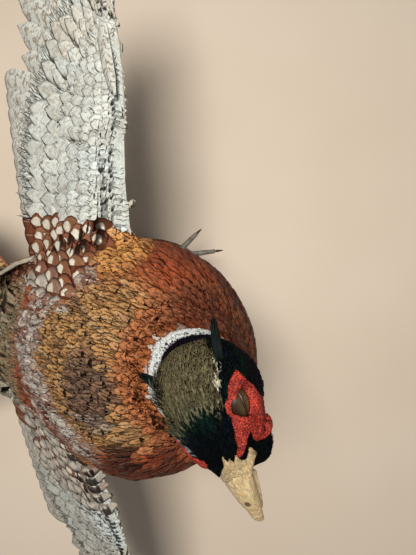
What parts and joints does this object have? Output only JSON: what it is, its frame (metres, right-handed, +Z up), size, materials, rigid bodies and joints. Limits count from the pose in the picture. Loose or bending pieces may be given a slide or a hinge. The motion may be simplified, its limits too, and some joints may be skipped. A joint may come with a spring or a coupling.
{
  "type": "taxidermy pheasant",
  "caption": "Taxidermy ring-necked pheasant cock, life size, wings spread and tail fanned with the head turned over its right side, on a round wooden base with a brass post",
  "frame": {"origin": "centre of the underside of the round base", "axes": "+Z up, -Y the bird's front, +X the bird's left"},
  "size_m": [0.7461, 0.6349, 0.4758],
  "materials": {
    "body_feather": "soft copper, gold and maroon plumage with dark edges",
    "head_feather": "short olive-brown crown and glossy purple-black neck plumage with a white ring",
    "covert_feather": "pale grey and cream coverts with fine brown flecks",
    "long_feather": "barred buff flight and tail feathers, slightly silky",
    "facial_skin": "red papillose skin, dry",
    "bill": "dry ivory horn with flaking at the base",
    "eye": "glossy amber glass with a black pupil",
    "leg_skin": "grey scaled skin",
    "claw": "dark horn",
    "stand_wood": "stained and waxed",
    "stand_metal": "satin brass"
  },
  "bodies": {
    "root": {"bill_lower": "bill", "bill_upper": "bill", "claw_left_hind": "claw", "claw_left_inner": "claw", "claw_left_middle": "claw", "claw_left_outer": "claw", "claw_right_hind": "claw", "claw_right_inner": "claw", "claw_right_middle": "claw", "claw_right_outer": "claw", "ear_tuft_left": "head_feather", "ear_tuft_right": "head_feather", "eye_left": "eye", "eye_right": "eye", "facial_skin_left": "facial_skin", "facial_skin_right": "facial_skin", "foot_left": "leg_skin", "foot_right": "leg_skin", "head": "head_feather", "leg_left": "leg_skin", "leg_right": "leg_skin", "neck": "head_feather", "rump": "body_feather", "spur_left": "claw", "spur_right": "claw", "stand_base": "stand_wood", "stand_flange": "stand_metal", "stand_post": "stand_metal", "tail_left": "long_feather", "tail_middle": "long_feather", "tail_right": "long_feather", "thigh_left": "body_feather", "thigh_right": "body_feather", "trunk": "body_feather", "wing_left_alula": "long_feather", "wing_left_arm": "covert_feather", "wing_left_hand": "covert_feather", "wing_left_primaries": "long_feather", "wing_left_secondaries": "long_feather", "wing_right_alula": "long_feather", "wing_right_arm": "covert_feather", "wing_right_hand": "covert_feather", "wing_right_primaries": "long_feather", "wing_right_secondaries": "long_feather"}
  },
  "joints": []
}
